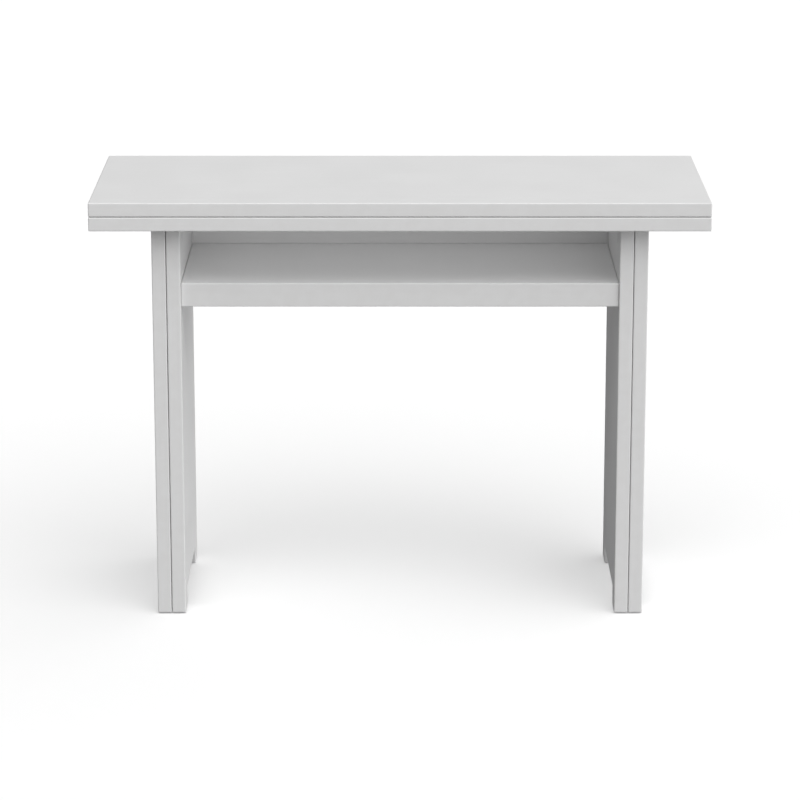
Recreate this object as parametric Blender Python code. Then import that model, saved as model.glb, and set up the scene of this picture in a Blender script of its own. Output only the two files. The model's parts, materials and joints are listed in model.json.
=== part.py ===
"""Gateleg console table: a book-fold top on two side panels, with a hinged gate panel outside each of them.

Run it with blender --background --python part.py, or from Blender's text editor. Metres, +Z up, front at -Y.
The origin is on the floor, under the middle of the closed top. The table is modelled closed. The upper leaf
turns half a turn about the rear edge of the lower one and lands flush behind it. Each gate swings half a turn
about its rear edge and then stands in line behind its side panel, under the opened leaf.
"""

import math

import bmesh
import bpy
from mathutils import Matrix, Vector

# Driving dimensions
TOP_WIDTH = 1.100
TOP_DEPTH = 0.450  # of each leaf
OPEN_HEIGHT = 0.750  # floor to the upper face of the lower leaf
BOARD = 0.025  # leaves, side panels and gates
SIDE_CLEAR = 0.784  # between the inner faces of the side panels
SIDE_DEPTH = 0.356
SHELF_TOP = 0.619
SHELF_THICKNESS = 0.043
SHELF_SETBACK = 0.007
BACK_THICKNESS = 0.012
FOOT_LENGTH = 0.054
NOTCH_HEIGHT = 0.036
FOLD_GAP = 0.001  # between the leaves, and between a side panel and its gate
EDGE_RADIUS = 0.002  # of the 2 mm edge banding
EDGE_SEGMENTS = 3
TOUCH = 0.0003  # kept between pieces that touch
OVERRUN = 0.004  # how far a cutter runs past the face it opens

# One pattern of butt hinge serves the top and the gates. Its axis stands a little behind the boards' edges.
HINGE_LENGTH = 0.060
HINGE_REACH = 0.018  # from the axis to a plate's far edge
HINGE_CORNER = 0.003
PLATE = 0.0015
AXIS_OFFSET = 0.0015
KNUCKLES = 3
KNUCKLE_RADIUS = 0.0025
KNUCKLE_SIDES = 14
NOTCH_REACH = 0.0035  # clears the other plate's knuckles
PIN_RADIUS = 0.0012
PIN_CLEARANCE = 0.0001
PIN_HEAD_RADIUS = 0.0021
PIN_HEAD = 0.0008
PIN_SIDES = 10
LEAF_HINGE_X = (-0.400, 0.0, 0.400)
GATE_HINGE_Z = (0.110, 0.610)

# Small fittings
ROUND_SIDES = 20
GLIDE_RADIUS = 0.009
GLIDE_HEIGHT = 0.0017
GLIDE_CHAMFER = 0.0005
SUPPORT_HEIGHT = 0.001  # slide strip on top of a gate
SUPPORT_LENGTH = 0.060
SUPPORT_WIDTH = 0.016
SUPPORT_INSET = 0.020  # from the gate's front edge
DOT_RADIUS = 0.005
DOT_INSET = 0.060  # from the leaf's edges
DOT_POCKET = 0.001
DOT_HEIGHT = 0.0014
CAM_RADIUS = 0.0075
CAM_DEPTH = 0.0165
CAM_DROP = 0.034  # below the lower leaf
CAM_SLOT = 0.0016
CAM_Y = 0.115
BOLT_RADIUS = 0.003
BOLT_WAIST = 0.0018
BOLT_GRIP = 0.012  # of the bolt's thread in the lower leaf
SCREW_RADIUS = 0.003
SCREW_HEAD_RADIUS = 0.005
SCREW_HEAD = 0.004
SCREW_LENGTH = 0.050
SCREW_SINK = 0.0005
SCREW_SIDES = 12
SHELF_SCREW_Y = 0.100
MAGNET_RADIUS = 0.006
MAGNET_DEPTH = 0.004
STRIKER_RADIUS = 0.007
STRIKER_DEPTH = 0.0015
CATCH_INSET = 0.030  # from the front edges of panel and gate
CATCH_Z = 0.480

# Worked out from the above
UNDERSIDE = OPEN_HEIGHT - BOARD
UPPER_LEAF_Z = OPEN_HEIGHT + FOLD_GAP
SIDE_INNER = SIDE_CLEAR / 2
SIDE_OUTER = SIDE_INNER + BOARD
GATE_INNER = SIDE_OUTER + FOLD_GAP
GATE_OUTER = GATE_INNER + BOARD
PANEL_BOTTOM = GLIDE_HEIGHT + TOUCH
SIDE_TOP = UNDERSIDE - TOUCH
GATE_TOP = UNDERSIDE - SUPPORT_HEIGHT - 2 * TOUCH
SHELF_BOTTOM = SHELF_TOP - SHELF_THICKNESS
LEAF_AXIS = Vector((0, TOP_DEPTH / 2 + AXIS_OFFSET, OPEN_HEIGHT + FOLD_GAP / 2))
GATE_AXIS_X = SIDE_OUTER + FOLD_GAP / 2
GATE_AXIS_Y = SIDE_DEPTH / 2 + AXIS_OFFSET
CAM_Z = UNDERSIDE - CAM_DROP
CATCH_Y = CATCH_INSET - SIDE_DEPTH / 2
SIDES = (("left", -1), ("right", 1))
ENDS = (("front", -1), ("rear", 1))


def finish(name, colour, roughness, metallic=0.0):
    """A Principled material."""
    material = bpy.data.materials.new(name)
    material.use_nodes = True
    shader = material.node_tree.nodes["Principled BSDF"]
    shader.inputs["Base Color"].default_value = (*colour, 1.0)
    shader.inputs["Roughness"].default_value = roughness
    shader.inputs["Metallic"].default_value = metallic
    material.diffuse_color = (*colour, 1.0)
    return material


def add_object(name, shape, material, origin, parent=None):
    """An object whose mesh is given in world space, with its origin moved to the given point."""
    origin = Vector(origin)
    bmesh.ops.translate(shape, verts=shape.verts, vec=-origin)
    bmesh.ops.recalc_face_normals(shape, faces=shape.faces)
    mesh = bpy.data.meshes.new(name)
    shape.to_mesh(mesh)
    shape.free()
    mesh.materials.append(material)
    obj = bpy.data.objects.new(name, mesh)
    bpy.context.scene.collection.objects.link(obj)
    obj.parent = parent
    obj.location = origin - (parent.location if parent else Vector())
    return obj


def add_pivot(name, point):
    """An empty on a joint's axis."""
    pivot = bpy.data.objects.new(name, None)
    pivot.empty_display_size = BOARD
    pivot.location = point
    bpy.context.scene.collection.objects.link(pivot)
    return pivot


def combine(obj, name, shapes, operation="DIFFERENCE"):
    """Cuts shapes given in world space out of obj, or joins them to it. The shapes don't meet each other."""
    helper_mesh = bpy.data.meshes.new(name)
    joined = bmesh.new()
    for shape in shapes:
        bmesh.ops.recalc_face_normals(shape, faces=shape.faces)
        shape.to_mesh(helper_mesh)
        joined.from_mesh(helper_mesh)
        shape.free()
    world = obj.location + (obj.parent.location if obj.parent else Vector())
    bmesh.ops.translate(joined, verts=joined.verts, vec=-world)
    joined.to_mesh(helper_mesh)
    joined.free()
    helper = bpy.data.objects.new(name, helper_mesh)
    helper.hide_render = True
    helper.display_type = "WIRE"
    bpy.context.scene.collection.objects.link(helper)
    helper.parent = obj
    modifier = obj.modifiers.new(name, "BOOLEAN")
    modifier.operation = operation
    modifier.object = helper


def round_edges(obj, radius=EDGE_RADIUS, segments=EDGE_SEGMENTS):
    bevel = obj.modifiers.new("edge_rounding", "BEVEL")
    bevel.width = radius
    bevel.segments = segments
    bevel.limit_method = "ANGLE"


def shade_round(obj):
    obj.data.shade_smooth()
    obj.data.set_sharp_from_angle(angle=math.radians(40))


def box(low, high):
    """A block between two opposite corners, given in any order."""
    shape = bmesh.new()
    size = Vector(high) - Vector(low)
    middle = (Vector(high) + Vector(low)) / 2
    matrix = Matrix.Translation(middle) @ Matrix.Diagonal((*map(abs, size), 1))
    bmesh.ops.create_cube(shape, size=1, matrix=matrix)
    return shape


def prism(outline, low, high, lift):
    """The outline extruded from low to high. lift turns (u, v, w) into a point, with w along it."""
    shape = bmesh.new()
    face = shape.faces.new([shape.verts.new(lift(u, v, low)) for u, v in outline])
    extruded = bmesh.ops.extrude_face_region(shape, geom=[face])
    moved = [item for item in extruded["geom"] if isinstance(item, bmesh.types.BMVert)]
    step = Vector(lift(0, 0, high)) - Vector(lift(0, 0, low))
    bmesh.ops.translate(shape, verts=moved, vec=step)
    return shape


def turned(profile, sides, base, direction):
    """A solid of revolution. The profile is (radius, distance) pairs from one pole to the other."""
    shape = bmesh.new()
    rim = [shape.verts.new((radius, 0, distance)) for radius, distance in profile]
    edges = [shape.edges.new(pair) for pair in zip(rim, rim[1:])]
    bmesh.ops.spin(
        shape, geom=rim + edges, cent=(0, 0, 0), axis=(0, 0, 1), angle=math.tau, steps=sides
    )
    bmesh.ops.remove_doubles(shape, verts=shape.verts, dist=EDGE_RADIUS / 100)
    turn = Vector((0, 0, 1)).rotation_difference(Vector(direction)).to_matrix().to_4x4()
    bmesh.ops.transform(shape, matrix=Matrix.Translation(base) @ turn, verts=shape.verts)
    return shape


def rod(radius, length, sides, base, direction):
    profile = [(0, 0), (radius, 0), (radius, length), (0, length)]
    return turned(profile, sides, base, direction)


def along_x(u, v, w):
    return (w, u, v)


# Hinges. In a hinge's own frame X runs from the fixed plate to the moving one, Y out of the boards' edges and
# Z along the axis.
def hinge_frame(point, across):
    across, outwards = Vector(across), Vector((0, 1, 0))
    frame = Matrix((across, outwards, across.cross(outwards))).transposed().to_4x4()
    frame.translation = point
    return frame


def knuckle_span(index):
    """The two ends of a knuckle along the axis, with room to turn beside its neighbours."""
    pitch = HINGE_LENGTH / KNUCKLES
    low = index * pitch - HINGE_LENGTH / 2
    high = low + pitch
    if index > 0:
        low += TOUCH / 2
    if index < KNUCKLES - 1:
        high -= TOUCH / 2
    return low, high


def plate_outline(own, side):
    """A hinge plate in X and Z: straight between its own knuckles, notched round the other plate's."""
    half = HINGE_LENGTH / 2
    points = [(NOTCH_REACH, -half)]
    for index in own:
        low, high = knuckle_span(index)
        points += [(NOTCH_REACH, low), (FOLD_GAP / 2, low), (FOLD_GAP / 2, high), (NOTCH_REACH, high)]
    points.append((NOTCH_REACH, half))
    for z_sign, start in ((1, math.pi / 2), (-1, 0)):
        centre_z = z_sign * (half - HINGE_CORNER)
        for step in range(3):
            angle = start - step * math.pi / 4
            reach = HINGE_REACH - HINGE_CORNER + HINGE_CORNER * math.cos(angle)
            points.append((reach, centre_z + HINGE_CORNER * math.sin(angle)))
    kept = [point for point, last in zip(points, [None, *points]) if point != last]
    return [(side * u, v) for u, v in kept]


def hinge_plate(name, frame, own, side, material, parent):
    """A plate flush with a board's edge, curled into its own knuckles and bored for the pin."""
    shape = prism(
        plate_outline(own, side), -AXIS_OFFSET - PLATE, -AXIS_OFFSET, lambda u, v, w: (u, w, v)
    )
    bmesh.ops.transform(shape, matrix=frame, verts=shape.verts)
    plate = add_object(name, shape, material, frame.translation, parent)
    axis = frame.to_3x3() @ Vector((0, 0, 1))
    knuckles = []
    for index in own:
        low, high = knuckle_span(index)
        base = frame.translation + low * axis
        knuckles.append(rod(KNUCKLE_RADIUS, high - low, KNUCKLE_SIDES, base, axis))
    combine(plate, f"{name}_knuckles", knuckles, "UNION")
    bore_length = HINGE_LENGTH + 2 * OVERRUN
    base = frame.translation - bore_length / 2 * axis
    combine(plate, f"{name}_bore", [rod(PIN_RADIUS + PIN_CLEARANCE, bore_length, PIN_SIDES, base, axis)])


def hinge_pin(name, frame, material):
    """A pin riveted over at both ends."""
    half = HINGE_LENGTH / 2 + TOUCH
    profile = [
        (0, -half - PIN_HEAD),
        (PIN_HEAD_RADIUS, -half - PIN_HEAD),
        (PIN_HEAD_RADIUS, -half),
        (PIN_RADIUS, -half),
        (PIN_RADIUS, half),
        (PIN_HEAD_RADIUS, half),
        (PIN_HEAD_RADIUS, half + PIN_HEAD),
        (0, half + PIN_HEAD),
    ]
    axis = frame.to_3x3() @ Vector((0, 0, 1))
    pin = add_object(
        name, turned(profile, PIN_SIDES, frame.translation, axis), material, frame.translation
    )
    shade_round(pin)


def hinge(name, frame, material, moving_parent):
    hinge_plate(f"{name}_fixed_plate", frame, (0, 2), -1, material, None)
    hinge_plate(f"{name}_moving_plate", frame, (1,), 1, material, moving_parent)
    hinge_pin(f"{name}_pin", frame, material)


def hinge_pocket(frame, side):
    """The mortise for one plate, open at the board's edge and at its mating face."""
    half = HINGE_LENGTH / 2 + PIN_HEAD + 3 * TOUCH
    low = (-side * OVERRUN, -AXIS_OFFSET - PLATE - TOUCH, -half)
    high = (side * (HINGE_REACH + TOUCH), OVERRUN, half)
    shape = box(low, high)
    bmesh.ops.transform(shape, matrix=frame, verts=shape.verts)
    return shape


def leaf_hinge_frames():
    return [hinge_frame(LEAF_AXIS + Vector((x, 0, 0)), (0, 0, 1)) for x in LEAF_HINGE_X]


def gate_hinge_frames(sign):
    axis_x = sign * GATE_AXIS_X
    return [hinge_frame(Vector((axis_x, GATE_AXIS_Y, z)), (sign, 0, 0)) for z in GATE_HINGE_Z]


def spots(x, y):
    """The four places at plus and minus x and y, each with its name."""
    return [
        (f"{end}_{side}", Vector((x_sign * x, y_sign * y, 0)))
        for side, x_sign in SIDES
        for end, y_sign in ENDS
    ]


def dot_spots():
    return spots(TOP_WIDTH / 2 - DOT_INSET, TOP_DEPTH / 2 - DOT_INSET)


def bolt_spots():
    return spots(SIDE_INNER + BOARD / 2, CAM_Y)


def leaf_block(bottom):
    corner = Vector((TOP_WIDTH / 2, TOP_DEPTH / 2, 0))
    return box(Vector((0, 0, bottom)) - corner, Vector((0, 0, bottom + BOARD)) + corner)


def lower_leaf(material):
    leaf = add_object("lower_leaf", leaf_block(UNDERSIDE), material, (0, 0, UNDERSIDE))
    round_edges(leaf)
    combine(leaf, "lower_leaf_mortises", [hinge_pocket(frame, -1) for frame in leaf_hinge_frames()])
    holes = []
    for _, spot in bolt_spots():
        base = spot + Vector((0, 0, UNDERSIDE - OVERRUN))
        length = OVERRUN + BOLT_GRIP + TOUCH
        holes.append(rod(BOLT_RADIUS + TOUCH, length, SCREW_SIDES, base, (0, 0, 1)))
    for _, spot in dot_spots():
        base = spot + Vector((0, 0, OPEN_HEIGHT - DOT_POCKET))
        holes.append(rod(DOT_RADIUS + TOUCH, DOT_POCKET + OVERRUN, ROUND_SIDES, base, (0, 0, 1)))
    combine(leaf, "lower_leaf_holes", holes)


def upper_leaf(material, pivot):
    origin = (0, LEAF_AXIS.y, LEAF_AXIS.z)
    leaf = add_object("upper_leaf", leaf_block(UPPER_LEAF_Z), material, origin, pivot)
    round_edges(leaf)
    combine(leaf, "upper_leaf_mortises", [hinge_pocket(frame, 1) for frame in leaf_hinge_frames()])


def panel_outline(top):
    """A side panel or gate in Y and Z: a board on two feet, with a long notch between them."""
    front, rear, notch = -SIDE_DEPTH / 2, SIDE_DEPTH / 2, NOTCH_HEIGHT
    return [
        (front, PANEL_BOTTOM),
        (front + FOOT_LENGTH, PANEL_BOTTOM),
        (front + FOOT_LENGTH, notch),
        (rear - FOOT_LENGTH, notch),
        (rear - FOOT_LENGTH, PANEL_BOTTOM),
        (rear, PANEL_BOTTOM),
        (rear, top),
        (front, top),
    ]


def screw_profile(clearance=0.0, overrun=0.0):
    """A countersunk screw from its head's face to its end, or the hole for one."""
    head, shank = SCREW_HEAD_RADIUS + clearance, SCREW_RADIUS + clearance
    end = SCREW_LENGTH + clearance
    return [(0, -overrun), (head, -overrun), (head, 0), (shank, SCREW_HEAD), (shank, end), (0, end)]


def shelf_screw_base(sign, y):
    return Vector((sign * (SIDE_OUTER - SCREW_SINK), y, (SHELF_TOP + SHELF_BOTTOM) / 2))


def shelf_screw_hole(sign, y):
    profile = screw_profile(TOUCH, SCREW_SINK + OVERRUN)
    return turned(profile, SCREW_SIDES, shelf_screw_base(sign, y), (-sign, 0, 0))


def side_panel(side, sign, material):
    name = f"side_panel_{side}"
    shape = prism(panel_outline(SIDE_TOP), sign * SIDE_INNER, sign * SIDE_OUTER, along_x)
    panel = add_object(name, shape, material, (sign * SIDE_INNER, 0, 0))
    round_edges(panel)
    combine(panel, f"{name}_mortises", [hinge_pocket(frame, -1) for frame in gate_hinge_frames(sign)])
    cams, holes = [], []
    for _, y_sign in ENDS:
        mouth = Vector((sign * (SIDE_INNER - OVERRUN), y_sign * CAM_Y, CAM_Z))
        depth = OVERRUN + CAM_DEPTH + TOUCH
        cams.append(rod(CAM_RADIUS + TOUCH, depth, ROUND_SIDES, mouth, (sign, 0, 0)))
        bolt = Vector((sign * (SIDE_INNER + BOARD / 2), y_sign * CAM_Y, CAM_Z))
        length = CAM_DROP + OVERRUN
        holes.append(rod(BOLT_RADIUS + TOUCH, length, SCREW_SIDES, bolt, (0, 0, 1)))
        holes.append(shelf_screw_hole(sign, y_sign * SHELF_SCREW_Y))
    magnet = Vector((sign * (SIDE_OUTER + OVERRUN), CATCH_Y, CATCH_Z))
    depth = OVERRUN + MAGNET_DEPTH + TOUCH
    holes.append(rod(MAGNET_RADIUS + TOUCH, depth, ROUND_SIDES, magnet, (-sign, 0, 0)))
    combine(panel, f"{name}_cam_seats", cams)
    combine(panel, f"{name}_holes", holes)


def gate_panel(side, sign, material, pivot):
    name = f"gate_panel_{side}"
    shape = prism(panel_outline(GATE_TOP), sign * GATE_INNER, sign * GATE_OUTER, along_x)
    gate = add_object(name, shape, material, pivot.location, pivot)
    round_edges(gate)
    combine(gate, f"{name}_mortises", [hinge_pocket(frame, 1) for frame in gate_hinge_frames(sign)])
    mouth = Vector((sign * (GATE_INNER - OVERRUN), CATCH_Y, CATCH_Z))
    depth = OVERRUN + STRIKER_DEPTH + TOUCH
    seat = rod(STRIKER_RADIUS + TOUCH, depth, ROUND_SIDES, mouth, (sign, 0, 0))
    combine(gate, f"{name}_striker_seat", [seat])


def shelf(material):
    half = SIDE_INNER - TOUCH
    low = (-half, SHELF_SETBACK - SIDE_DEPTH / 2, SHELF_BOTTOM)
    board = add_object("shelf", box(low, (half, SIDE_DEPTH / 2, SHELF_TOP)), material, (0, 0, SHELF_BOTTOM))
    round_edges(board)
    places = [(sign, y_sign * SHELF_SCREW_Y) for _, sign in SIDES for _, y_sign in ENDS]
    combine(board, "shelf_holes", [shelf_screw_hole(sign, y) for sign, y in places])


def back_panel(material):
    half, rear = SIDE_INNER - TOUCH, SIDE_DEPTH / 2
    low = (-half, rear - BACK_THICKNESS, SHELF_TOP + TOUCH)
    add_object("back_panel", box(low, (half, rear, SIDE_TOP)), material, (0, rear, SHELF_TOP))


def glide(name, x, y, material, parent):
    profile = [
        (0, 0),
        (GLIDE_RADIUS - GLIDE_CHAMFER, 0),
        (GLIDE_RADIUS, GLIDE_CHAMFER),
        (GLIDE_RADIUS, GLIDE_HEIGHT),
        (0, GLIDE_HEIGHT),
    ]
    disc = turned(profile, ROUND_SIDES, (x, y, 0), (0, 0, 1))
    shade_round(add_object(name, disc, material, (x, y, 0), parent))


def panel_glides(panel, x, material, parent=None):
    for end, y_sign in ENDS:
        y = y_sign * (SIDE_DEPTH / 2 - FOOT_LENGTH / 2)
        glide(f"glide_{panel}_{end}", x, y, material, parent)


def support_strip(side, sign, material, pivot):
    """The slide strip on a gate's top edge that the opened leaf comes to rest on."""
    middle_x = sign * (GATE_INNER + BOARD / 2)
    front = SUPPORT_INSET - SIDE_DEPTH / 2
    low = Vector((middle_x - SUPPORT_WIDTH / 2, front, GATE_TOP + TOUCH))
    size = Vector((SUPPORT_WIDTH, SUPPORT_LENGTH, SUPPORT_HEIGHT))
    add_object(f"support_strip_{side}", box(low, low + size), material, low + size / 2, pivot)


def leaf_dots(material):
    """Cushions that keep the closed leaves from rubbing, each sunk in a shallow seat in the lower one."""
    for place, spot in dot_spots():
        base = spot + Vector((0, 0, OPEN_HEIGHT - DOT_POCKET + TOUCH))
        dot = rod(DOT_RADIUS, DOT_HEIGHT, ROUND_SIDES, base, (0, 0, 1))
        shade_round(add_object(f"leaf_dot_{place}", dot, material, base))


def cam_fittings(material):
    """A cam in each side panel that draws down a bolt screwed into the lower leaf."""
    for place, spot in bolt_spots():
        sign = math.copysign(1, spot.x)
        face = Vector((sign * (SIDE_INNER + TOUCH), spot.y, CAM_Z))
        disc = rod(CAM_RADIUS, CAM_DEPTH - TOUCH, ROUND_SIDES, face, (sign, 0, 0))
        cam = add_object(f"cam_{place}", disc, material, face)
        half = Vector((CAM_SLOT, CAM_SLOT / 2, CAM_RADIUS * 0.7))
        combine(cam, f"cam_{place}_slot", [box(face - half, face + half)])
        bottom = CAM_Z + CAM_RADIUS + 2 * TOUCH
        rise = UNDERSIDE - bottom
        profile = [
            (0, 0),
            (BOLT_RADIUS, 0),
            (BOLT_RADIUS, BOLT_RADIUS),
            (BOLT_WAIST, BOLT_RADIUS),
            (BOLT_WAIST, rise - BOLT_RADIUS),
            (BOLT_RADIUS, rise - BOLT_RADIUS),
            (BOLT_RADIUS, rise + BOLT_GRIP),
            (0, rise + BOLT_GRIP),
        ]
        base = Vector((spot.x, spot.y, bottom))
        bolt = turned(profile, SCREW_SIDES, base, (0, 0, 1))
        shade_round(add_object(f"cam_bolt_{place}", bolt, material, base))


def shelf_screws(material):
    for side, sign in SIDES:
        for end, y_sign in ENDS:
            base = shelf_screw_base(sign, y_sign * SHELF_SCREW_Y)
            shape = turned(screw_profile(), SCREW_SIDES, base, (-sign, 0, 0))
            shade_round(add_object(f"shelf_screw_{end}_{side}", shape, material, base))


def catch(side, sign, magnet_material, steel, pivot):
    """The magnet in a side panel's outer face and the striker in the gate's inner one."""
    base = Vector((sign * SIDE_OUTER, CATCH_Y, CATCH_Z))
    magnet = rod(MAGNET_RADIUS, MAGNET_DEPTH, ROUND_SIDES, base, (-sign, 0, 0))
    shade_round(add_object(f"magnet_{side}", magnet, magnet_material, base))
    base = Vector((sign * GATE_INNER, CATCH_Y, CATCH_Z))
    striker = rod(STRIKER_RADIUS, STRIKER_DEPTH, ROUND_SIDES, base, (sign, 0, 0))
    shade_round(add_object(f"striker_{side}", striker, steel, base, pivot))


def build_table():
    for obj in list(bpy.data.objects):
        bpy.data.objects.remove(obj, do_unlink=True)
    lacquer = finish("white_lacquer", (0.79, 0.79, 0.79), 0.45)
    steel = finish("zinc_plated_steel", (0.62, 0.62, 0.63), 0.35, 1.0)
    nylon = finish("white_nylon", (0.70, 0.70, 0.69), 0.55)
    silicone = finish("clear_silicone", (0.80, 0.80, 0.78), 0.40)
    ferrite = finish("nickel_magnet", (0.45, 0.45, 0.46), 0.30, 1.0)

    leaf_pivot = add_pivot("leaf_fold_axis", LEAF_AXIS)
    lower_leaf(lacquer)
    upper_leaf(lacquer, leaf_pivot)
    for number, frame in enumerate(leaf_hinge_frames(), start=1):
        hinge(f"leaf_hinge_{number}", frame, steel, leaf_pivot)
    leaf_dots(silicone)
    cam_fittings(steel)
    shelf(lacquer)
    shelf_screws(steel)
    back_panel(lacquer)
    for side, sign in SIDES:
        axis_x = sign * GATE_AXIS_X
        pivot = add_pivot(f"gate_{side}_axis", Vector((axis_x, GATE_AXIS_Y, 0)))
        side_panel(side, sign, lacquer)
        gate_panel(side, sign, lacquer, pivot)
        for number, frame in enumerate(gate_hinge_frames(sign), start=1):
            hinge(f"gate_{side}_hinge_{number}", frame, steel, pivot)
        panel_glides(f"side_{side}", sign * (SIDE_INNER + BOARD / 2), nylon)
        panel_glides(f"gate_{side}", sign * (GATE_INNER + BOARD / 2), nylon, pivot)
        support_strip(side, sign, nylon, pivot)
        catch(side, sign, ferrite, steel, pivot)


build_table()
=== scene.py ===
"""The looks of a gateleg console table: white lacquered boards, plated hinges and moulded fittings.

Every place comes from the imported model. The boards, cams and bolts keep their CAD shapes and get procedural
finishes. The hinges, screws, glides, cushions, slides and catches are rebuilt here with their real detail.
"""

import json
import math

import bmesh
import bpy
from mathutils import Matrix, Vector


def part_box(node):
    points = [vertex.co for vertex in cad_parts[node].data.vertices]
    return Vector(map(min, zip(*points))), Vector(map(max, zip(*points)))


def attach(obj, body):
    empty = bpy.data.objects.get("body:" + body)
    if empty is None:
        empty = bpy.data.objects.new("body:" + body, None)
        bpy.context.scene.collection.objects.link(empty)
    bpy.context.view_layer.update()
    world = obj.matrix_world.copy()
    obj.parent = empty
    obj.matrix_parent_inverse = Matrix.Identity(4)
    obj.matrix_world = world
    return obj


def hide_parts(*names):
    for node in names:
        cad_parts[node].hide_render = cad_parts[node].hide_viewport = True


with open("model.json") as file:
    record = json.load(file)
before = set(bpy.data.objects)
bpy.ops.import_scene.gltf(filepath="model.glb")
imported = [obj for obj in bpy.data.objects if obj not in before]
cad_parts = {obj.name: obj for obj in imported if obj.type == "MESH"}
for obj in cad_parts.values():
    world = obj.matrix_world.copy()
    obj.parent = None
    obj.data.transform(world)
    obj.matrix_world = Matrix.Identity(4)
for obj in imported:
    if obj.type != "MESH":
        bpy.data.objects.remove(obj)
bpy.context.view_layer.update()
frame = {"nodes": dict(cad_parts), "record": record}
MM = 0.001
UP = Vector((0, 0, 1))
REARWARDS = Vector((0, 1, 0))
SIDES = (("left", -1), ("right", 1))
ENDS = ("front", "rear")
CORNERS = [(f"{end}_{side}", sign) for side, sign in SIDES for end in ENDS]

# Camera and studio
CAMERA_PLACE = Vector((0.0, -6.08, 1.97))
CAMERA_AIM = Vector((0.0, 0.0, 0.358))
CAMERA_LENS = 152.5
SENSOR = 36.0
FLOOR_SIZE = 60.0
FLOOR_TONE = 0.8
FLOOR_GLOW = 0.28
GLOW_FOCUS = 6.0
GLOWS = (  # degrees round from the front to the right, degrees up, strength
    (45, 30, 1.5),
    (90, 0, 1.4),
    (135, 30, 1.2),
    (0, 60, 1.0),
    (315, 60, 0.9),
    (0, -90, 0.9),
    (0, 30, 0.8),
    (135, -40, 0.5),
    (225, -40, 0.3),
    (225, 30, 0.2),
)
NICHE_FILL = 0.11  # watts
NICHE_FILL_WIDTH = 0.96  # as a part of the niche's width
NICHE_FILL_DEPTH = 0.8  # as a part of the shelf's open depth
NICHE_FILL_DROP = 2 * MM  # below the leaf
SHADE_DEPTH = 1 * MM  # of the contact shades, below the floor

# Boards
LACQUER = 0.88  # how much light it returns
FOOT_LENGTH = 54 * MM
NOTCH_HEIGHT = 36 * MM
BANDING = 2 * MM  # from a board's edge to the seam on its face
SEAM = 0.2 * MM
SKIN = 0.9 * MM  # lacquer and laminate over the raw core

# The hinges' pattern, as the boards' mortises hold it
PLATE = 1.5 * MM
AXIS_OFFSET = 1.5 * MM
HINGE_REACH = 18 * MM
HINGE_CORNER = 3 * MM
HINGE_EDGE = 0.2 * MM
PLATE_START = 0.5 * MM
NOTCH_REACH = 3.5 * MM
KNUCKLE_RADIUS = 2.5 * MM
BORE_RADIUS = 1.3 * MM
KNUCKLES = 3
KNUCKLE_GAP = 0.3 * MM
PIN_RADIUS = 1.2 * MM
RIVET_HEAD = 2.1 * MM
RIVET_HEAD_HEIGHT = 0.8 * MM
RIVET_ROUND = 0.5 * MM
SCREW_PLACES = ((10.5, -21.0), (13.0, 0.0), (10.5, 21.0))  # in mm, across and along the plate

# Screws and small fittings
PLATE_SCREW = 3.2 * MM
HEAD_RISE = 0.35 * MM
DRIVE_DEPTH = 1.1 * MM
RIM = 0.94  # where a head's face starts, as a part of its radius
CONFIRMAT_RISE = 0.1 * MM
CONFIRMAT_HEAD = 2.4 * MM  # the head's height, and the depth of its recess
CONFIRMAT_NECK = 6 * MM  # from the face to the first thread
CONFIRMAT_POINT = 2 * MM
CONFIRMAT_PITCH = 2.5 * MM
GLIDE_ROUND = 0.8 * MM
CATCH_EDGE = 0.3 * MM
CUP_WALL = 1.2 * MM
CUP_DITCH = 0.6 * MM
CUP_DEPTH = 1.5 * MM
CAP_RADIUS = 9 * MM
CAP_GAP = 0.05 * MM  # between a cap and the board
CAP_EDGE = 0.35 * MM
CAP_RISE = 0.8 * MM
AROUND = 40  # sides of a turned piece
SHARP_ANGLE = 35  # degrees between faces, from which an edge shows


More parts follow.
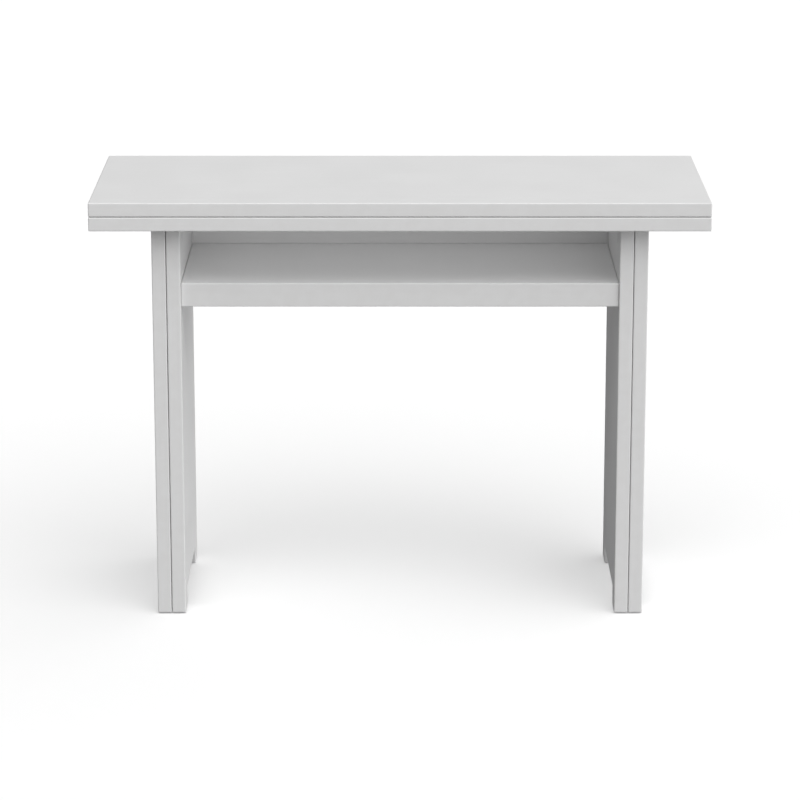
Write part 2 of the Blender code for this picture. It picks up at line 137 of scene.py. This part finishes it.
class Shader:
    """A Principled material whose nodes are made by short calls."""

    def __init__(self, name):
        self.material = bpy.data.materials.new(name)
        self.material.use_nodes = True
        self.tree = self.material.node_tree
        self.surface = self.tree.nodes["Principled BSDF"]
        self.place = self.node("TexCoord").outputs["Object"]

    def node(self, kind, inputs=(), **settings):
        node = self.tree.nodes.new(f"ShaderNode{kind}")
        for name, value in settings.items():
            setattr(node, name, value)
        for name, value in dict(inputs).items():
            self.feed(node.inputs[name], value)
        return node

    def feed(self, socket, value):
        if isinstance(value, bpy.types.NodeSocket):
            self.tree.links.new(value, socket)
        else:
            socket.default_value = value

    def set(self, **inputs):
        for name, value in inputs.items():
            self.feed(self.surface.inputs[name.replace("_", " ")], value)

    def maths(self, operation, first, second=0.0):
        return self.node("Math", {0: first, 1: second}, operation=operation).outputs["Value"]

    def vectors(self, operation, first, second=(0, 0, 0)):
        return self.node("VectorMath", {0: first, 1: second}, operation=operation).outputs["Vector"]

    def axes(self, vector):
        return self.node("SeparateXYZ", {"Vector": vector}).outputs

    def ramp(self, value, start, end, low=0.0, high=1.0):
        """Runs smoothly from low to high as the value goes from start to end, and stays there past them."""
        inputs = {"Value": value, "From Min": start, "From Max": end, "To Min": low, "To Max": high}
        return self.node("MapRange", inputs, interpolation_type="SMOOTHSTEP").outputs["Result"]

    def noise(self, scale, detail=2.0, stretch=(1, 1, 1), low=0.0, high=1.0):
        """Noise with so many features to the metre, drawn out along an axis where stretch is small."""
        place = self.vectors("MULTIPLY", self.place, stretch)
        noise = self.node("TexNoise", {"Vector": place, "Scale": scale, "Detail": detail})
        return self.ramp(noise.outputs["Fac"], 0.3, 0.7, low, high)

    def blend(self, factor, first, second):
        mix = self.node("Mix", data_type="RGBA")
        factor_in, first_in, second_in = mix.inputs[0], mix.inputs[6], mix.inputs[7]
        self.feed(factor_in, factor)
        self.feed(first_in, first if isinstance(first, bpy.types.NodeSocket) else (*first, 1.0))
        self.feed(second_in, second if isinstance(second, bpy.types.NodeSocket) else (*second, 1.0))
        return mix.outputs[2]

    def bump(self, height, depth, below=None):
        bump = self.node("Bump", {"Height": height, "Strength": 1.0, "Distance": depth})
        if below:
            self.feed(bump.inputs["Normal"], below)
        return bump.outputs["Normal"]


def grey(level, warmth=0.0):
    return (level * (1 + warmth), level, level * (1 - warmth))


def lacquered(node):
    """Satin white lacquer on a board: faint cloudiness, streaks along its length, a seam beside its banding,
    rubbed edges, and raw chipboard where a mortise or a bore goes through the skin.
    """
    low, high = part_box(node)
    centre, half = (low + high) / 2, (high - low) / 2
    thin = min(range(3), key=lambda axis: half[axis])
    long = max(range(3), key=lambda axis: half[axis])
    shader = Shader(f"lacquer_{node}")
    away = shader.vectors("ABSOLUTE", shader.vectors("SUBTRACT", shader.place, centre))
    depths = shader.axes(shader.vectors("SUBTRACT", half, away))
    first, second = (depths[axis] for axis in range(3) if axis != thin)
    edge = shader.maths("MINIMUM", first, second)
    if node.startswith(("side_panel", "gate_panel")):
        beside_notch = shader.maths("SUBTRACT", FOOT_LENGTH, depths[1])
        above_notch = shader.maths("SUBTRACT", shader.axes(shader.place)[2], NOTCH_HEIGHT)
        edge = shader.maths("MINIMUM", edge, shader.maths("MAXIMUM", beside_notch, above_notch))
    on_face = shader.ramp(depths[thin], 0.1 * MM, 0.3 * MM, 1.0, 0.0)
    off_seam = shader.maths("ABSOLUTE", shader.maths("SUBTRACT", edge, BANDING))
    seam = shader.maths("MULTIPLY", on_face, shader.ramp(off_seam, SEAM / 4, SEAM, 1.0, 0.0))
    inside = shader.ramp(shader.maths("MINIMUM", edge, depths[thin]), SKIN, SKIN * 1.3)
    stretch = [1.0, 1.0, 1.0]
    stretch[long] = 0.04
    white = shader.blend(shader.noise(4.0, 4.0), grey(LACQUER * 0.993), grey(LACQUER * 1.004))
    white = shader.blend(shader.noise(160.0, 3.0, stretch, 0.0, 0.35), white, grey(LACQUER * 0.965))
    rubbed = shader.ramp(edge, 0.0, 2.5 * MM, 1.0, 0.0)
    rubbed = shader.maths("MULTIPLY", rubbed, shader.noise(45.0, 4.0, low=0.0, high=0.4))
    white = shader.blend(rubbed, white, grey(LACQUER * 0.93, 0.005))
    white = shader.blend(shader.maths("MULTIPLY", seam, 0.6), white, grey(LACQUER * 0.65, 0.03))
    drawn_out = shader.vectors("MULTIPLY", shader.place, stretch)
    chips = shader.node("TexVoronoi", {"Vector": drawn_out, "Scale": 700.0}).outputs["Distance"]
    core = shader.blend(chips, (0.50, 0.36, 0.22), (0.24, 0.15, 0.08))
    roughness = shader.noise(11.0, 5.0, low=0.38, high=0.43)
    roughness = shader.maths("ADD", roughness, shader.maths("MULTIPLY", inside, 0.4))
    roughness = shader.maths("ADD", roughness, shader.maths("MULTIPLY", rubbed, 0.15))
    waves = shader.bump(shader.noise(9.0), 0.008 * MM)
    peel = shader.bump(shader.noise(750.0, 2.0), 0.008 * MM, waves)
    groove = shader.bump(seam, -0.05 * MM, peel)
    grain = shader.bump(shader.maths("MULTIPLY", inside, chips), 0.3 * MM, groove)
    shader.set(Base_Color=shader.blend(inside, white, core), Roughness=roughness, Normal=grain)
    return shader.material


def zinc():
    """Bright zinc plate, passivated: cloudy, with a fine upright grain."""
    shader = Shader("zinc_plate")
    cloud = shader.noise(260.0, 4.0)
    shader.set(
        Base_Color=shader.blend(cloud, (0.62, 0.63, 0.65), (0.72, 0.72, 0.72)),
        Metallic=0.8,
        Roughness=shader.noise(900.0, 3.0, low=0.36, high=0.54),
        Normal=shader.bump(shader.noise(4000.0, 2.0, (1, 1, 0.08)), 0.006 * MM),
    )
    return shader.material


def nickel():
    """Nickel plate on the magnets, rivets and hinge screws: warmer and smoother than the zinc."""
    shader = Shader("nickel_plate")
    shader.set(
        Base_Color=shader.blend(shader.noise(350.0, 3.0), (0.58, 0.56, 0.53), (0.70, 0.68, 0.65)),
        Metallic=0.85,
        Roughness=shader.noise(1200.0, 3.0, low=0.24, high=0.4),
        Normal=shader.bump(shader.noise(3000.0, 2.0), 0.003 * MM),
    )
    return shader.material


def nylon():
    """White moulded nylon with a fine spark-eroded texture, dirtied low down where it meets the floor."""
    shader = Shader("white_nylon")
    height = shader.axes(shader.place)[2]
    low_down = shader.ramp(height, 0.0, 1.6 * MM, 1.0, 0.0)
    soiled = shader.maths("MULTIPLY", low_down, shader.noise(500.0, 4.0, high=0.5))
    clean = shader.blend(shader.noise(120.0, 3.0), grey(0.80), grey(0.84))
    shader.set(
        Base_Color=shader.blend(soiled, clean, grey(0.35, 0.04)),
        Roughness=shader.noise(700.0, 3.0, low=0.42, high=0.6),
        Normal=shader.bump(shader.noise(2600.0, 2.0), 0.02 * MM),
        Subsurface_Weight=0.05,
    )
    return shader.material


def silicone():
    """Clear soft silicone, hazed and dusty."""
    shader = Shader("clear_silicone")
    shader.set(
        Base_Color=shader.blend(shader.noise(700.0, 3.0), (0.93, 0.94, 0.93), (0.86, 0.87, 0.86)),
        Roughness=shader.noise(1500.0, 3.0, low=0.18, high=0.3),
        Normal=shader.bump(shader.noise(500.0, 2.0), 0.005 * MM),
        Transmission_Weight=0.6,
        IOR=1.41,
    )
    return shader.material


def add_piece(name, shape, material, body, replaced=()):
    """An object from a shape given in the model's own frame, riding on a body."""
    mesh = bpy.data.meshes.new(name)
    shape.to_mesh(mesh)
    shape.free()
    mesh.materials.append(material)
    mesh.shade_smooth()
    mesh.set_sharp_from_angle(angle=math.radians(SHARP_ANGLE))
    piece = bpy.data.objects.new(name, mesh)
    bpy.context.scene.collection.objects.link(piece)
    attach(piece, body)
    if replaced:
        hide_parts(*replaced)
    return piece


def standing(base, direction, turn=0.0):
    """A matrix that stands a shape made along +Z on a point, along a direction."""
    lean = UP.rotation_difference(Vector(direction)).to_matrix().to_4x4()
    return Matrix.Translation(base) @ lean @ Matrix.Rotation(turn, 4, "Z")


def lathe(shape, profile, matrix, sides=AROUND):
    """Adds a turned solid. The profile is (radius, height) pairs from one pole on the axis to the other."""
    turns = [(math.cos(math.tau * i / sides), math.sin(math.tau * i / sides)) for i in range(sides)]
    rings = []
    for radius, height in profile:
        places = [(radius * x, radius * y, height) for x, y in turns] if radius else [(0, 0, height)]
        rings.append([shape.verts.new(matrix @ Vector(place)) for place in places])
    for lower, upper in zip(rings, rings[1:]):
        for i in range(sides):
            j = (i + 1) % sides
            below = [lower[i % len(lower)], lower[j % len(lower)]]
            above = [upper[j % len(upper)], upper[i % len(upper)]]
            shape.faces.new(list(dict.fromkeys(below + above)))


def arc(centre, radius, start, end, steps):
    """Points of an arc, its angles in degrees."""
    angles = [math.radians(start + (end - start) * i / steps) for i in range(steps + 1)]
    return [(centre[0] + radius * math.cos(a), centre[1] + radius * math.sin(a)) for a in angles]


def slab(shape, outline, low, high, lift):
    """Adds a prism. lift turns (u, v, w) into a point, with w running from low to high."""
    ends = [[shape.verts.new(lift(u, v, w)) for u, v in outline] for w in (low, high)]
    faces = [shape.faces.new(ring) for ring in ends]
    for i in range(len(outline)):
        j = (i + 1) % len(outline)
        faces.append(shape.faces.new((ends[0][i], ends[0][j], ends[1][j], ends[1][i])))
    bmesh.ops.recalc_face_normals(shape, faces=faces)


def soften(piece, width, segments=2):
    bevel = piece.modifiers.new("edges", "BEVEL")
    bevel.width = width
    bevel.segments = segments
    bevel.limit_method = "ANGLE"
    bevel.angle_limit = math.radians(40)


def cross_drive(x, y, arm, width):
    """How deep a cross recess is at a point of a screw's head, from 0 outside it to 1 in the middle."""
    across = min(abs(x), abs(y)) / width
    along = max(abs(x), abs(y)) / arm
    inside = max(0.0, min(1.0, 4 * (1 - across))) * max(0.0, min(1.0, 3 * (1 - along)))
    return inside * (1 - 0.45 * along)


def screw_head(shape, matrix, radius, rise, depth):
    """Adds a raised countersunk head with a cross recess. Its rim is at height 0."""
    rings = 14
    arm, width = radius * 0.62, radius * 0.17  # of the cross, from its middle

    def row(reach, height):
        angles = [math.tau * step / AROUND for step in range(AROUND)]
        places = [(reach * math.cos(angle), reach * math.sin(angle)) for angle in angles]
        return [shape.verts.new(matrix @ Vector((x, y, height(x, y)))) for x, y in places]

    def face_height(x, y):
        dome = rise * (1 - 0.65 * (x * x + y * y) / radius**2)
        return dome - depth * cross_drive(x, y, arm, width)

    centre = shape.verts.new(matrix @ Vector((0, 0, rise - depth)))
    rows = [row(radius * RIM * (ring + 1) / rings, face_height) for ring in range(rings)]
    rows.append(row(radius, lambda x, y: 0.0))
    rows.append(row(radius * 0.5, lambda x, y: -depth * 1.2))
    for step in range(AROUND):
        after = (step + 1) % AROUND
        shape.faces.new((centre, rows[0][step], rows[0][after]))
        for inner, outer in zip(rows, rows[1:]):
            shape.faces.new((inner[step], outer[step], outer[after], inner[after]))
    shape.faces.new(reversed(rows[-1]))


class Hinge:
    """A butt hinge's own frame: across from the fixed plate to the moving one, outwards and along the pin."""

    def __init__(self, name, across):
        self.name = name
        low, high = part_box(f"{name}_pin")
        self.centre = (low + high) / 2
        across = Vector(across)
        frame_axes = Matrix((across, REARWARDS, across.cross(REARWARDS))).transposed().to_4x4()
        frame_axes.translation = self.centre
        self.matrix = frame_axes
        low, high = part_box(f"{name}_fixed_plate")
        self.length = max(high - low)

    def point(self, across, outwards, along):
        return self.matrix @ Vector((across, outwards, along))

    def knuckle(self, index):
        pitch = self.length / KNUCKLES
        low = index * pitch - self.length / 2
        high = low + pitch
        return (low + (index > 0) * KNUCKLE_GAP / 2, high - (index < KNUCKLES - 1) * KNUCKLE_GAP / 2)


def rolled_knuckle():
    """The section of a plate rolled round the pin, across and outwards, open in a narrow slit."""
    overlap = NOTCH_REACH + 1 * MM
    inner_face = -AXIS_OFFSET - PLATE
    roll_start, bore_start, roll_end = -105, -55, -382  # degrees, round from the plate to the slit
    outline = [(overlap, inner_face), (PLATE_START, inner_face)]
    outline += arc((0, 0), KNUCKLE_RADIUS, roll_start, roll_end, 26)
    outline += arc((0, 0), BORE_RADIUS, roll_end, bore_start, 22)
    outline += [(PLATE_START + 0.9 * MM, -AXIS_OFFSET), (overlap, -AXIS_OFFSET)]
    return outline


def plate_outline(hinge):
    half = hinge.length / 2
    start, reach, corner = NOTCH_REACH, HINGE_REACH, HINGE_CORNER
    outline = [(start, -half), *arc((reach - corner, corner - half), corner, -90, 0, 8)]
    outline += [*arc((reach - corner, half - corner), corner, 0, 90, 8), (start, half)]
    return outline


def union(shapes):
    """One shape from closed ones that overlap."""
    pieces = []
    for shape in shapes:
        mesh = bpy.data.meshes.new("part_of_union")
        shape.to_mesh(mesh)
        shape.free()
        pieces.append(bpy.data.objects.new("part_of_union", mesh))
        bpy.context.scene.collection.objects.link(pieces[-1])
    for piece in pieces[1:]:
        modifier = pieces[0].modifiers.new("union", "BOOLEAN")
        modifier.operation = "UNION"
        modifier.object = piece
    joined = pieces[0].evaluated_get(bpy.context.evaluated_depsgraph_get())
    shape = bmesh.new()
    shape.from_mesh(joined.to_mesh())
    joined.to_mesh_clear()
    for piece in pieces:
        bpy.data.objects.remove(piece)
    return shape


def add_hinge_plate(hinge, which, own, side, plated, bright, body):
    """A plate with its rolled knuckles. side is -1 on the fixed plate and 1 on the moving one."""
    plate = bmesh.new()
    inner_face, outer_face = -AXIS_OFFSET - PLATE, -AXIS_OFFSET
    slab(plate, plate_outline(hinge), inner_face, outer_face, lambda u, v, w: hinge.point(side * u, w, v))
    shapes = [plate]
    for index in own:
        knuckle = bmesh.new()
        slab(knuckle, rolled_knuckle(), *hinge.knuckle(index), lambda u, v, w: hinge.point(side * u, v, w))
        shapes.append(knuckle)
    name = f"{hinge.name}_{which}"
    soften(add_piece(name, union(shapes), plated, body, [f"{name}_plate"]), HINGE_EDGE)
    heads = bmesh.new()
    for number, (across, along) in enumerate(SCREW_PLACES):
        face = hinge.point(side * across * MM, outer_face, along * MM)
        turned = standing(face, REARWARDS, 0.7 * number + side)
        screw_head(heads, turned, PLATE_SCREW, HEAD_RISE, DRIVE_DEPTH)
    add_piece(f"{name}_screws", heads, bright, body)


def add_hinge(name, across, plated, bright, moving_body):
    hinge = Hinge(name, across)
    add_hinge_plate(hinge, "fixed", (0, 2), -1, plated, bright, "frame")
    add_hinge_plate(hinge, "moving", (1,), 1, plated, bright, moving_body)
    low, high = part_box(f"{name}_pin")
    half = max(high - low) / 2
    under_head = RIVET_HEAD_HEIGHT - half
    profile = [(0, -half)]
    profile += arc((RIVET_HEAD - RIVET_ROUND, RIVET_ROUND - half), RIVET_ROUND, -90, 0, 4)
    profile += [(RIVET_HEAD, under_head), (PIN_RADIUS, under_head)]
    profile += [(radius, -height) for radius, height in reversed(profile)]
    shape = bmesh.new()
    lathe(shape, profile, standing(hinge.centre, hinge.matrix.to_3x3() @ UP), 24)
    add_piece(f"{name}_rivet", shape, bright, "frame", [f"{name}_pin"])


def add_hinges(plated, bright):
    for number in (1, 2, 3):
        add_hinge(f"leaf_hinge_{number}", UP, plated, bright, "top_leaf")
    for side, sign in SIDES:
        for number in (1, 2):
            add_hinge(f"gate_{side}_hinge_{number}", (sign, 0, 0), plated, bright, f"gate_{side}")


def add_turned(name, node, profile, direction, material, body):
    """Replaces a round node by a finer turned piece that stands on the same place."""
    low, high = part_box(node)
    centre = (low + high) / 2
    direction = Vector(direction)
    reach = abs((high - low).dot(direction)) / 2
    shape = bmesh.new()
    lathe(shape, profile, standing(centre - direction * reach, direction))
    add_piece(name, shape, material, body, [node])


def add_glides(material):
    """Flat nail-in glides with a rolled rim and a dimple over the nail."""
    owners = [("side", side, "frame") for side, _ in SIDES]
    owners += [("gate", side, f"gate_{side}") for side, _ in SIDES]
    for owner, side, body in owners:
        for end in ENDS:
            place = f"{owner}_{side}_{end}"
            low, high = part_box(f"glide_{place}")
            radius, height = (high.x - low.x) / 2, high.z - low.z
            profile = [(0, 0.5 * MM), (1.6 * MM, 0.4 * MM), (2.2 * MM, 0)]
            profile += arc((radius - GLIDE_ROUND, GLIDE_ROUND), GLIDE_ROUND, -90, 0, 6)
            profile += [(radius, height), (0, height)]
            add_turned(f"foot_{place}", f"glide_{place}", profile, UP, material, body)


def add_cushions(material):
    """Domed self-adhesive cushions between the closed leaves."""
    for corner, _ in CORNERS:
        node = f"leaf_dot_{corner}"
        low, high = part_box(node)
        radius, height = (high.x - low.x) / 2, high.z - low.z
        dome = [(radius * across, height * (0.35 + 0.65 * up)) for across, up in arc((0, 0), 1, 0, 90, 10)]
        profile = [(0, 0), (radius, 0), *dome[:-1], (0, height)]
        add_turned(f"cushion_{corner}", node, profile, UP, material, "frame")


def add_slides(material):
    """Slide strips on the gates' top edges, with round ends and softened edges."""
    for side, _ in SIDES:
        node = f"support_strip_{side}"
        low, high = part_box(node)
        centre, half = (low + high) / 2, (high - low) / 2
        radius = half.x
        outline = arc((0, half.y - radius), radius, 0, 180, 18)
        outline += arc((0, radius - half.y), radius, 180, 360, 18)
        shape = bmesh.new()
        slab(shape, outline, low.z, high.z, lambda u, v, w: Vector((centre.x + u, centre.y + v, w)))
        strip = add_piece(f"slide_{side}", shape, material, f"gate_{side}", [node])
        soften(strip, 0.3 * MM, 3)


def add_catches(bright, plain):
    """A cup magnet in each side panel, and in its gate a striker held by a screw."""
    for side, sign in SIDES:
        low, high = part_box(f"magnet_{side}")
        radius, depth = (high.y - low.y) / 2, high.x - low.x
        cup_inside, core_radius = radius - CUP_WALL, radius - CUP_WALL - CUP_DITCH
        profile = [(0, 0), (radius, 0), (radius, depth - CATCH_EDGE), (radius - CATCH_EDGE, depth)]
        profile += [(cup_inside, depth), (cup_inside, depth - CUP_DEPTH), (core_radius, depth - CUP_DEPTH)]
        profile += [(core_radius, depth - CATCH_EDGE), (core_radius - CUP_DITCH, depth - 0.1 * MM)]
        profile += [(0, depth - 0.1 * MM)]
        add_turned(f"cup_magnet_{side}", f"magnet_{side}", profile, (sign, 0, 0), bright, "frame")
        add_striker(side, Vector((-sign, 0, 0)), plain)


def add_striker(side, facing, plain):
    """A round plate with a countersunk hole and its screw, which faces the magnet."""
    node, body = f"striker_{side}", f"gate_{side}"
    low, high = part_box(node)
    radius, depth = (high.y - low.y) / 2, high.x - low.x
    profile = [(0, 0), (radius, 0), (radius, depth - CATCH_EDGE), (radius - CATCH_EDGE, depth)]
    profile += [(3.2 * MM, depth), (2.6 * MM, depth - 0.5 * MM), (0, depth - 0.5 * MM)]
    add_turned(f"strike_plate_{side}", node, profile, facing, plain, body)
    face = (low + high) / 2 + facing * (depth / 2 - 0.3 * MM)
    shape = bmesh.new()
    screw_head(shape, standing(face, facing, 0.4), 2.5 * MM, 0.1 * MM, 0.7 * MM)
    add_piece(f"strike_screw_{side}", shape, plain, body)


def add_shelf_screws(material):
    """Long countersunk screws through the side panels into the shelf, hidden by the closed gates."""
    for corner, sign in CORNERS:
        node = f"shelf_screw_{corner}"
        low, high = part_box(node)
        radius, length = (high.y - low.y) / 2, high.x - low.x
        outer = high.x if sign > 0 else low.x
        face = Vector((outer - sign * CONFIRMAT_RISE, (low.y + high.y) / 2, (low.z + high.z) / 2))
        shape = bmesh.new()
        turned = standing(face, (sign, 0, 0), 0.5 + face.y)
        screw_head(shape, turned, radius, CONFIRMAT_RISE, CONFIRMAT_HEAD)
        crest, root = radius * 0.6, radius * 0.42
        turns = int((length - CONFIRMAT_NECK - CONFIRMAT_POINT) / CONFIRMAT_PITCH)
        profile = [(0, CONFIRMAT_HEAD), (root, CONFIRMAT_HEAD)]
        for turn in range(turns):
            start = CONFIRMAT_NECK + turn * CONFIRMAT_PITCH
            rise, fall = start + CONFIRMAT_PITCH * 0.35, start + CONFIRMAT_PITCH * 0.7
            profile += [(root, start), (crest, rise), (root, fall)]
        profile += [(root, length - CONFIRMAT_POINT), (0, length - 0.2 * MM)]
        lathe(shape, profile, standing(face, (-sign, 0, 0)), 20)
        add_piece(f"confirmat_{corner}", shape, material, "frame", [node])


def add_cam_caps(material):
    """Moulded caps over the cams on the inner faces of the side panels."""
    for corner, sign in CORNERS:
        low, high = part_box(f"cam_{corner}")
        panel_low, panel_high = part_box(f"side_panel_{corner.split('_')[1]}")
        inner = panel_low.x if sign > 0 else panel_high.x
        face = Vector((inner, (low.y + high.y) / 2, (low.z + high.z) / 2))
        dome = [(CAP_RADIUS * across, CAP_EDGE + (CAP_RISE - CAP_EDGE) * up)
                for across, up in arc((0, 0), 1, 0, 90, 8)]
        profile = [(0, CAP_GAP), (CAP_RADIUS, CAP_GAP), *dome[:-1], (0, CAP_RISE)]
        shape = bmesh.new()
        lathe(shape, profile, standing(face, (-sign, 0, 0)))
        add_piece(f"cam_cap_{corner}", shape, material, "frame")


def dress_cad(looks):
    """Gives every CAD node that stays in view its finish."""
    for part in frame["record"]["subparts"]:
        name, slot = part["node"], part["material_slot"]
        materials = frame["nodes"][name].data.materials
        materials.clear()
        materials.append(lacquered(name) if slot == "lacquer" else looks[slot])


def add_camera():
    data = bpy.data.cameras.new("camera")
    data.lens = CAMERA_LENS
    data.sensor_width = SENSOR
    camera = bpy.data.objects.new("camera", data)
    camera.location = CAMERA_PLACE
    camera.rotation_euler = (CAMERA_AIM - CAMERA_PLACE).to_track_quat("-Z", "Y").to_euler()
    bpy.context.scene.collection.objects.link(camera)
    bpy.context.scene.camera = camera


def add_floor():
    """A white floor that glows a little, so its shadows stay soft. It throws no light on the table."""
    shape = bmesh.new()
    bmesh.ops.create_grid(shape, x_segments=8, y_segments=8, size=FLOOR_SIZE / 2)
    mesh = bpy.data.meshes.new("floor")
    shape.to_mesh(mesh)
    shape.free()
    shader = Shader("floor")
    shader.set(
        Base_Color=shader.blend(shader.noise(30.0, 4.0), grey(FLOOR_TONE * 0.99), grey(FLOOR_TONE)),
        Roughness=shader.noise(50.0, low=0.85, high=0.95),
        Normal=shader.bump(shader.noise(300.0), 0.01 * MM),
        Specular_IOR_Level=0.0,
        Emission_Color=(1, 1, 1, 1),
        Emission_Strength=FLOOR_GLOW,
    )
    mesh.materials.append(shader.material)
    floor = bpy.data.objects.new("floor", mesh)
    bpy.context.scene.collection.objects.link(floor)
    floor.visible_diffuse = False
    floor.visible_glossy = False
    floor.visible_shadow = False


def add_contact_shades():
    """Dark patches under the closed panels, unseen, that keep the glow from below out of the notches."""
    shader = Shader("contact_shade")
    shader.set(Base_Color=shader.blend(shader.noise(30.0), grey(0.01), grey(0.02)), Roughness=1.0)
    for side, _ in SIDES:
        inner_low, inner_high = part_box(f"side_panel_{side}")
        outer_low, outer_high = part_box(f"gate_panel_{side}")
        low = Vector(min(pair) for pair in zip(inner_low, outer_low))
        high = Vector(max(pair) for pair in zip(inner_high, outer_high))
        corners = ((low.x, low.y), (high.x, low.y), (high.x, high.y), (low.x, high.y))
        shape = bmesh.new()
        shape.faces.new([shape.verts.new((x, y, -SHADE_DEPTH)) for x, y in corners])
        mesh = bpy.data.meshes.new(f"contact_shade_{side}")
        shape.to_mesh(mesh)
        shape.free()
        mesh.materials.append(shader.material)
        shade = bpy.data.objects.new(f"contact_shade_{side}", mesh)
        bpy.context.scene.collection.objects.link(shade)
        shade.visible_camera = False


def add_studio():
    """A white studio whose light comes from broad soft glows, each strongest in its own direction."""
    world = bpy.data.worlds.new("studio")
    world.use_nodes = True
    tree = world.node_tree
    background = tree.nodes["Background"]
    background.inputs["Color"].default_value = (1, 1, 1, 1)
    way = tree.nodes.new("ShaderNodeTexCoord").outputs["Generated"]
    total = None
    for azimuth, elevation, strength in GLOWS:
        around, up = math.radians(azimuth), math.radians(elevation)
        towards = (math.sin(around) * math.cos(up), -math.cos(around) * math.cos(up), math.sin(up))
        facing = tree.nodes.new("ShaderNodeVectorMath")
        facing.operation = "DOT_PRODUCT"
        facing.inputs[1].default_value = towards
        tree.links.new(way, facing.inputs[0])
        steps = (("MAXIMUM", 0.0), ("POWER", GLOW_FOCUS), ("MULTIPLY", strength))
        value = facing.outputs["Value"]
        for operation, number in steps:
            step = tree.nodes.new("ShaderNodeMath")
            step.operation = operation
            step.inputs[1].default_value = number
            tree.links.new(value, step.inputs[0])
            value = step.outputs["Value"]
        if total:
            adding = tree.nodes.new("ShaderNodeMath")
            tree.links.new(total, adding.inputs[0])
            tree.links.new(value, adding.inputs[1])
            value = adding.outputs["Value"]
        total = value
    # The camera sees plain white behind the table.
    seen = tree.nodes.new("ShaderNodeMath")
    seen.operation = "MAXIMUM"
    tree.links.new(tree.nodes.new("ShaderNodeLightPath").outputs["Is Camera Ray"], seen.inputs[0])
    tree.links.new(total, seen.inputs[1])
    tree.links.new(seen.outputs["Value"], background.inputs["Strength"])
    bpy.context.scene.world = world


def add_niche_fill():
    """A weak panel of light over the shelf, for the light that the niche's white faces pass to and fro."""
    low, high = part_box("shelf")
    back_low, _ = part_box("back_panel")
    leaf_low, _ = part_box("lower_leaf")
    data = bpy.data.lights.new("niche_fill", "AREA")
    data.shape = "RECTANGLE"
    data.size = (high.x - low.x) * NICHE_FILL_WIDTH
    data.size_y = (back_low.y - low.y) * NICHE_FILL_DEPTH
    data.energy = NICHE_FILL
    light = bpy.data.objects.new("niche_fill", data)
    height = leaf_low.z - NICHE_FILL_DROP
    light.location = ((low.x + high.x) / 2, back_low.y - data.size_y / 2, height)
    light.visible_camera = False
    light.visible_glossy = False
    bpy.context.scene.collection.objects.link(light)


bpy.context.scene.view_settings.view_transform = "Standard"
add_camera()
add_studio()
add_niche_fill()
add_floor()
add_contact_shades()
looks = {"steel": zinc(), "nylon": nylon(), "silicone": silicone(), "magnet": nickel()}
dress_cad(looks)
add_hinges(looks["steel"], looks["magnet"])
add_glides(looks["nylon"])
add_cushions(looks["silicone"])
add_slides(looks["nylon"])
add_catches(looks["magnet"], looks["steel"])
add_shelf_screws(looks["steel"])
add_cam_caps(looks["nylon"])
